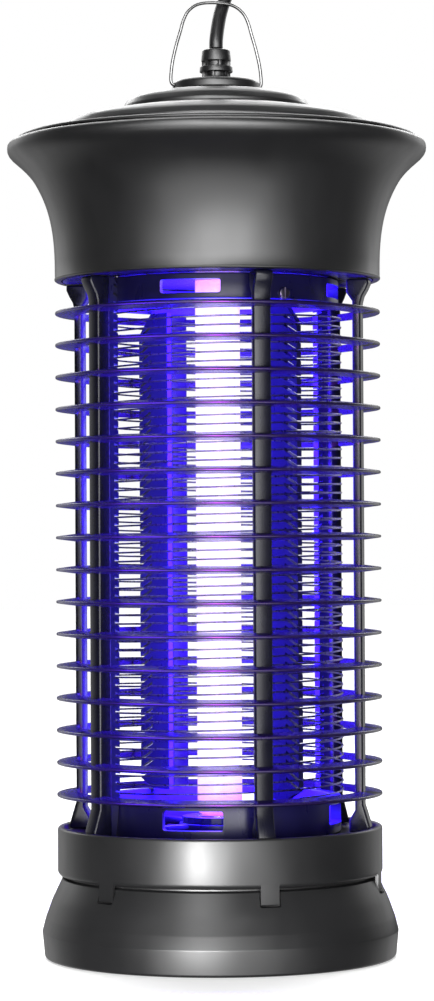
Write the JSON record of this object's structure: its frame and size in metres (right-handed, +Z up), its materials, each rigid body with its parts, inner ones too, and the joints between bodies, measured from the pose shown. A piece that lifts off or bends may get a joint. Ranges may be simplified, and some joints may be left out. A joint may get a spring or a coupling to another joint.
{
  "type": "electric bug zapper",
  "caption": "Lantern-shaped electric insect killer: finned guard, wire grid round a UV tube lamp, flared housing, pull-off tray, wire bail and mains cord.",
  "frame": {"origin": "centre of the tray's foot, on the surface that the lantern stands on", "axes": "+Z up along the lantern, -Y towards the front post, X along the bail's pivots"},
  "size_m": [0.2374, 0.1496, 0.3715],
  "materials": {
    "charcoal_plastic": "satin moulded, fine grain",
    "guard_plastic": "semi-gloss black moulding",
    "grid_insulator": "blue-black heat-resistant moulding",
    "grid_steel": "bright drawn wire and plated screws",
    "lamp_glass": "glowing white-violet tube",
    "lamp_cap": "satin caps and pins",
    "bail_wire": "bright steel wire",
    "cord_rubber": "matte black flexible sheath",
    "plug_brass": "plated blades",
    "circuit_board": "green solder mask",
    "component": "moulded electronic parts"
  },
  "bodies": {
    "root": {"lower_ring": "charcoal_plastic", "housing": "charcoal_plastic", "top_cover": "charcoal_plastic", "hanger_collar": "charcoal_plastic", "guard_post_1": "guard_plastic", "guard_post_2": "guard_plastic", "guard_post_3": "guard_plastic", "guard_post_4": "guard_plastic", "guard_post_5": "guard_plastic", "guard_post_6": "guard_plastic", "guard_fin_01": "guard_plastic", "guard_fin_02": "guard_plastic", "guard_fin_03": "guard_plastic", "guard_fin_04": "guard_plastic", "guard_fin_05": "guard_plastic", "guard_fin_06": "guard_plastic", "guard_fin_07": "guard_plastic", "guard_fin_08": "guard_plastic", "guard_fin_09": "guard_plastic", "guard_fin_10": "guard_plastic", "guard_fin_11": "guard_plastic", "guard_fin_12": "guard_plastic", "guard_fin_13": "guard_plastic", "guard_fin_14": "guard_plastic", "guard_fin_15": "guard_plastic", "guard_fin_16": "guard_plastic", "chassis_plate": "guard_plastic", "cord_tie": "guard_plastic", "grid_base_frame": "grid_insulator", "grid_top_frame": "grid_insulator", "grid_comb_1": "grid_insulator", "grid_comb_2": "grid_insulator", "grid_comb_3": "grid_insulator", "grid_comb_4": "grid_insulator", "lampholder_lower": "grid_insulator", "lampholder_upper": "grid_insulator", "grid_wire_live": "grid_steel", "grid_wire_neutral": "grid_steel", "live_terminal": "grid_steel", "neutral_terminal": "grid_steel", "uv_lamp_tube": "lamp_glass", "lamp_cap_lower": "lamp_cap", "lamp_cap_upper": "lamp_cap", "strain_relief": "cord_rubber", "supply_cord": "cord_rubber", "cord_coil": "cord_rubber", "mains_plug": "cord_rubber", "inner_supply_lead": "cord_rubber", "live_lead": "cord_rubber", "neutral_lead": "cord_rubber", "plug_blade_1": "plug_brass", "plug_blade_2": "plug_brass", "driver_board": "circuit_board", "step_up_transformer": "component", "film_capacitor": "component", "terminal_block": "component", "reservoir_capacitor": "component"},
    "tray": {"collection_tray": "charcoal_plastic"},
    "bail": {"hanging_bail": "bail_wire"}
  },
  "joints": [
    {"name": "tray_release", "type": "slide", "parent": "root", "child": "tray", "axis": [0, 0, -1], "range_m": [0, 0.05]},
    {"name": "bail_swing", "type": "hinge", "parent": "root", "child": "bail", "pos_m": [0, 0, 0.3099], "axis": [1, 0, 0], "range_deg": [0, 92]}
  ]
}
